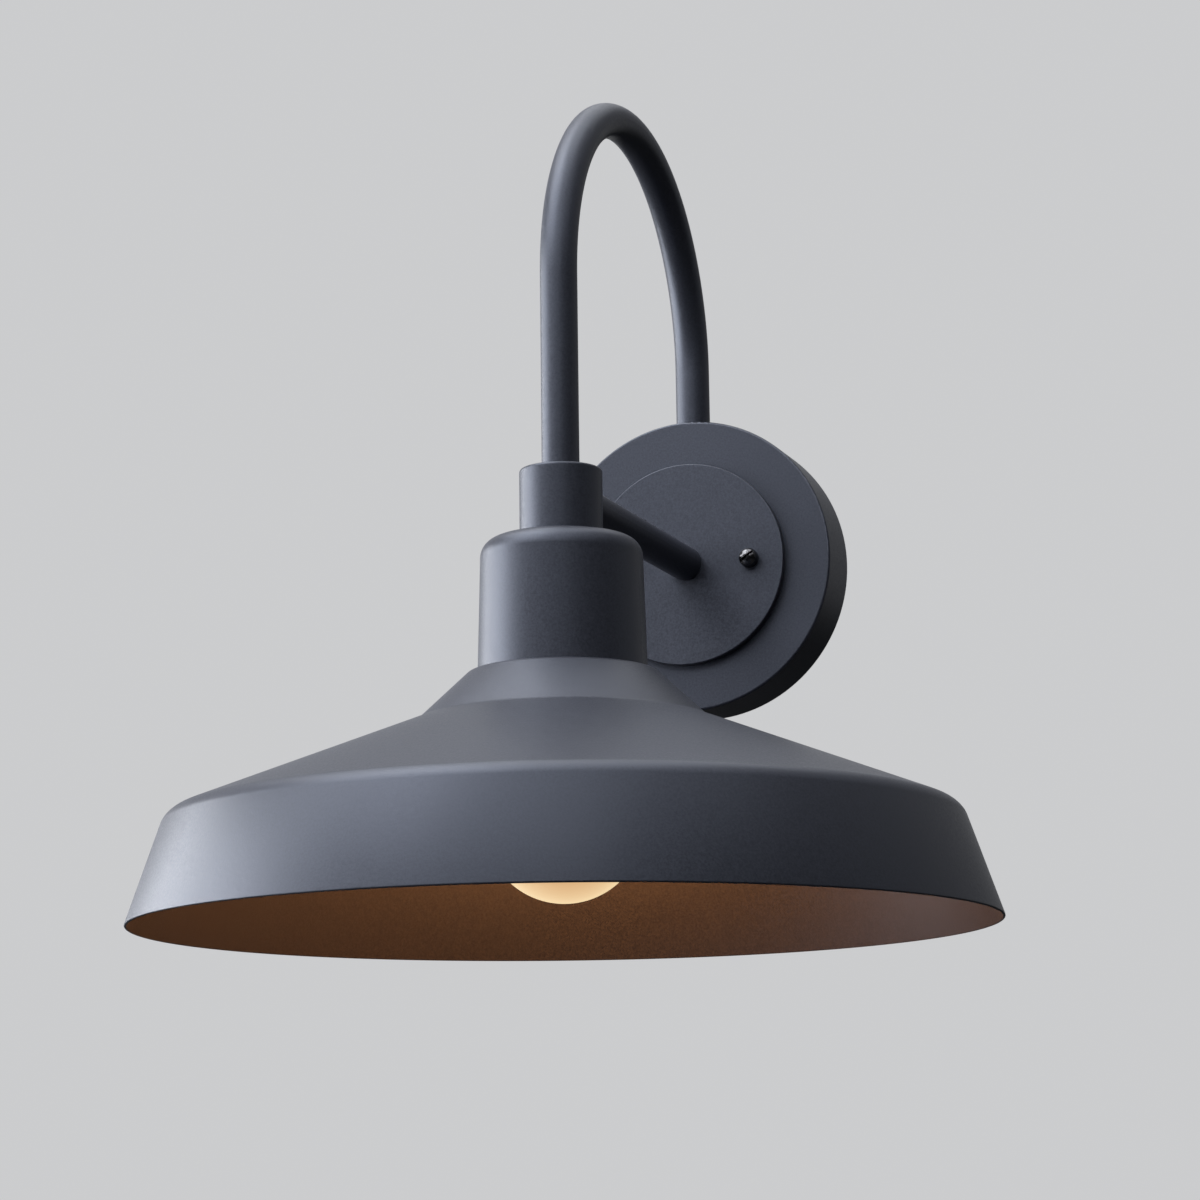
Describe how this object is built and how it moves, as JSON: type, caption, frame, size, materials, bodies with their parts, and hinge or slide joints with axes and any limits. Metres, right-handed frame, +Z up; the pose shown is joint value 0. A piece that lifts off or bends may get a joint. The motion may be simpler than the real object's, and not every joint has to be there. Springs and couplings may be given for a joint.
{
  "type": "gooseneck wall light",
  "caption": "Gooseneck wall light: a round wall plate, a hooped tube arm with a straight brace, and a flared metal shade over a screw-in bulb.",
  "frame": {"origin": "on the wall, at the middle of the wall plate and of its crossbar's two box slots", "axes": "X along the wall, +Y into the wall so the lamp stands out along -Y, +Z up"},
  "size_m": [0.3555, 0.3711, 0.3772],
  "materials": {
    "coat": "satin powder coat",
    "dark_screw": "satin",
    "zinc": "satin",
    "brass": "satin",
    "copper": "bare wire",
    "ground_green": "gloss",
    "foam": "matte closed-cell foam",
    "porcelain": "glazed",
    "lead_black": "matte insulation",
    "lead_white": "matte insulation",
    "nut_plastic": "semi-gloss",
    "bulb_frost": "frosted, lit warm white",
    "bulb_white": "matte",
    "bulb_metal": "satin",
    "bulb_black": "gloss",
    "board": "matte laminate"
  },
  "bodies": {
    "fixture": {"backplate": "coat", "center_disc": "coat", "canopy_screws": "dark_screw", "crossbar": "zinc", "ground_screw": "ground_green", "ground_lead": "copper", "wall_gasket": "foam", "gooseneck_tube": "coat", "gooseneck_retaining_ring": "zinc", "gooseneck_bushing": "zinc", "brace_tube": "coat", "brace_bushing": "zinc", "brace_nipple": "zinc", "brace_washer": "zinc", "brace_nut": "zinc", "collar": "coat", "stem_nipple": "zinc", "stem_washer": "zinc", "stem_nut": "zinc", "socket_cup": "coat", "socket_bracket": "zinc", "bracket_screws": "zinc", "socket_body": "porcelain", "socket_screw_shell": "brass", "socket_center_contact": "brass", "terminal_screws": "brass", "shade": "coat", "shade_ring": "coat", "live_lead": "lead_black", "neutral_lead": "lead_white", "wire_nuts": "nut_plastic"},
    "bulb": {"bulb_globe": "bulb_frost", "bulb_housing": "bulb_white", "bulb_cap": "bulb_metal", "bulb_insulator": "bulb_black", "bulb_contact": "bulb_metal", "bulb_led_board": "board", "bulb_driver_board": "board"}
  },
  "joints": [
    {"name": "bulb_draw", "type": "slide", "parent": "fixture", "child": "bulb", "axis": [0, 0, -1], "range_m": [0, 0.125]}
  ]
}
